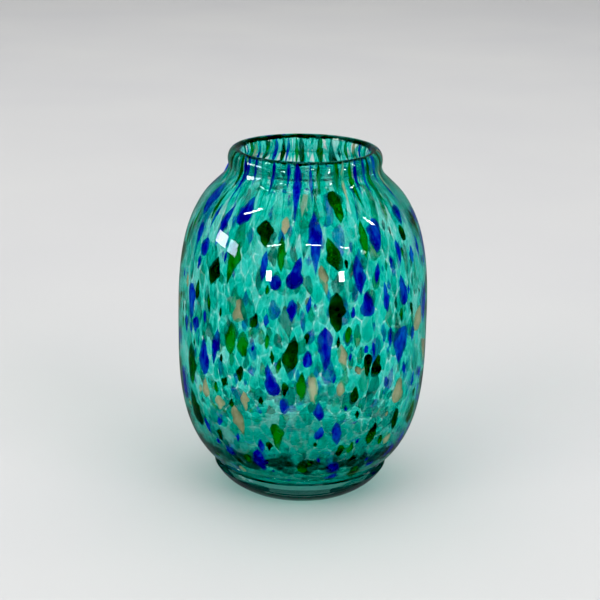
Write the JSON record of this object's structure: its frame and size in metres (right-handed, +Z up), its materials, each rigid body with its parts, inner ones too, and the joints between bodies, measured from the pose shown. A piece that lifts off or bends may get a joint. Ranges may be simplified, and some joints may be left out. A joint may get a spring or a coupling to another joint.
{
  "type": "vase",
  "caption": "Barrel-shaped cased glass vase: clear gather, skin of teal chips set with cobalt, moss and gold-flecked chips, clear casing, wrapped lip and applied foot.",
  "frame": {"origin": "centre of the foot, on the surface that the vase stands on", "axes": "+Z up along the vase's axis, -Y towards the front, +X to the right seen from the front"},
  "size_m": [0.158, 0.158, 0.22],
  "materials": {
    "clear_glass": "clear, fire polished",
    "teal_glass": "translucent fused frit between clear layers",
    "cobalt_glass": "deep translucent chip between clear layers",
    "moss_glass": "dark translucent chip, streaked and speckled",
    "aventurine_glass": "opaque sand coloured chip with metal flecks"
  },
  "bodies": {
    "root": {"inner_gather": "clear_glass", "teal_chip_skin": "teal_glass", "outer_casing": "clear_glass", "lip_wrap": "clear_glass", "foot_disc": "clear_glass", "aventurine_chip_01": "aventurine_glass", "aventurine_chip_02": "aventurine_glass", "aventurine_chip_03": "aventurine_glass", "aventurine_chip_04": "aventurine_glass", "aventurine_chip_05": "aventurine_glass", "aventurine_chip_06": "aventurine_glass", "aventurine_chip_07": "aventurine_glass", "aventurine_chip_08": "aventurine_glass", "aventurine_chip_09": "aventurine_glass", "aventurine_chip_10": "aventurine_glass", "aventurine_chip_11": "aventurine_glass", "cobalt_chip_01": "cobalt_glass", "cobalt_chip_02": "cobalt_glass", "cobalt_chip_03": "cobalt_glass", "cobalt_chip_04": "cobalt_glass", "cobalt_chip_05": "cobalt_glass", "cobalt_chip_06": "cobalt_glass", "cobalt_chip_07": "cobalt_glass", "cobalt_chip_08": "cobalt_glass", "cobalt_chip_09": "cobalt_glass", "cobalt_chip_10": "cobalt_glass", "cobalt_chip_11": "cobalt_glass", "cobalt_chip_12": "cobalt_glass", "cobalt_chip_13": "cobalt_glass", "cobalt_chip_14": "cobalt_glass", "cobalt_chip_15": "cobalt_glass", "cobalt_chip_16": "cobalt_glass", "cobalt_chip_17": "cobalt_glass", "cobalt_chip_18": "cobalt_glass", "cobalt_chip_19": "cobalt_glass", "cobalt_chip_20": "cobalt_glass", "cobalt_chip_21": "cobalt_glass", "cobalt_chip_22": "cobalt_glass", "moss_chip_01": "moss_glass", "moss_chip_02": "moss_glass", "moss_chip_03": "moss_glass", "moss_chip_04": "moss_glass", "moss_chip_05": "moss_glass", "moss_chip_06": "moss_glass", "moss_chip_07": "moss_glass", "moss_chip_08": "moss_glass", "moss_chip_09": "moss_glass", "moss_chip_10": "moss_glass", "moss_chip_11": "moss_glass", "moss_chip_12": "moss_glass", "moss_chip_13": "moss_glass", "moss_chip_14": "moss_glass", "moss_chip_15": "moss_glass", "moss_chip_16": "moss_glass", "moss_chip_17": "moss_glass", "moss_chip_18": "moss_glass", "moss_chip_19": "moss_glass", "moss_chip_20": "moss_glass", "moss_chip_21": "moss_glass"}
  },
  "joints": []
}
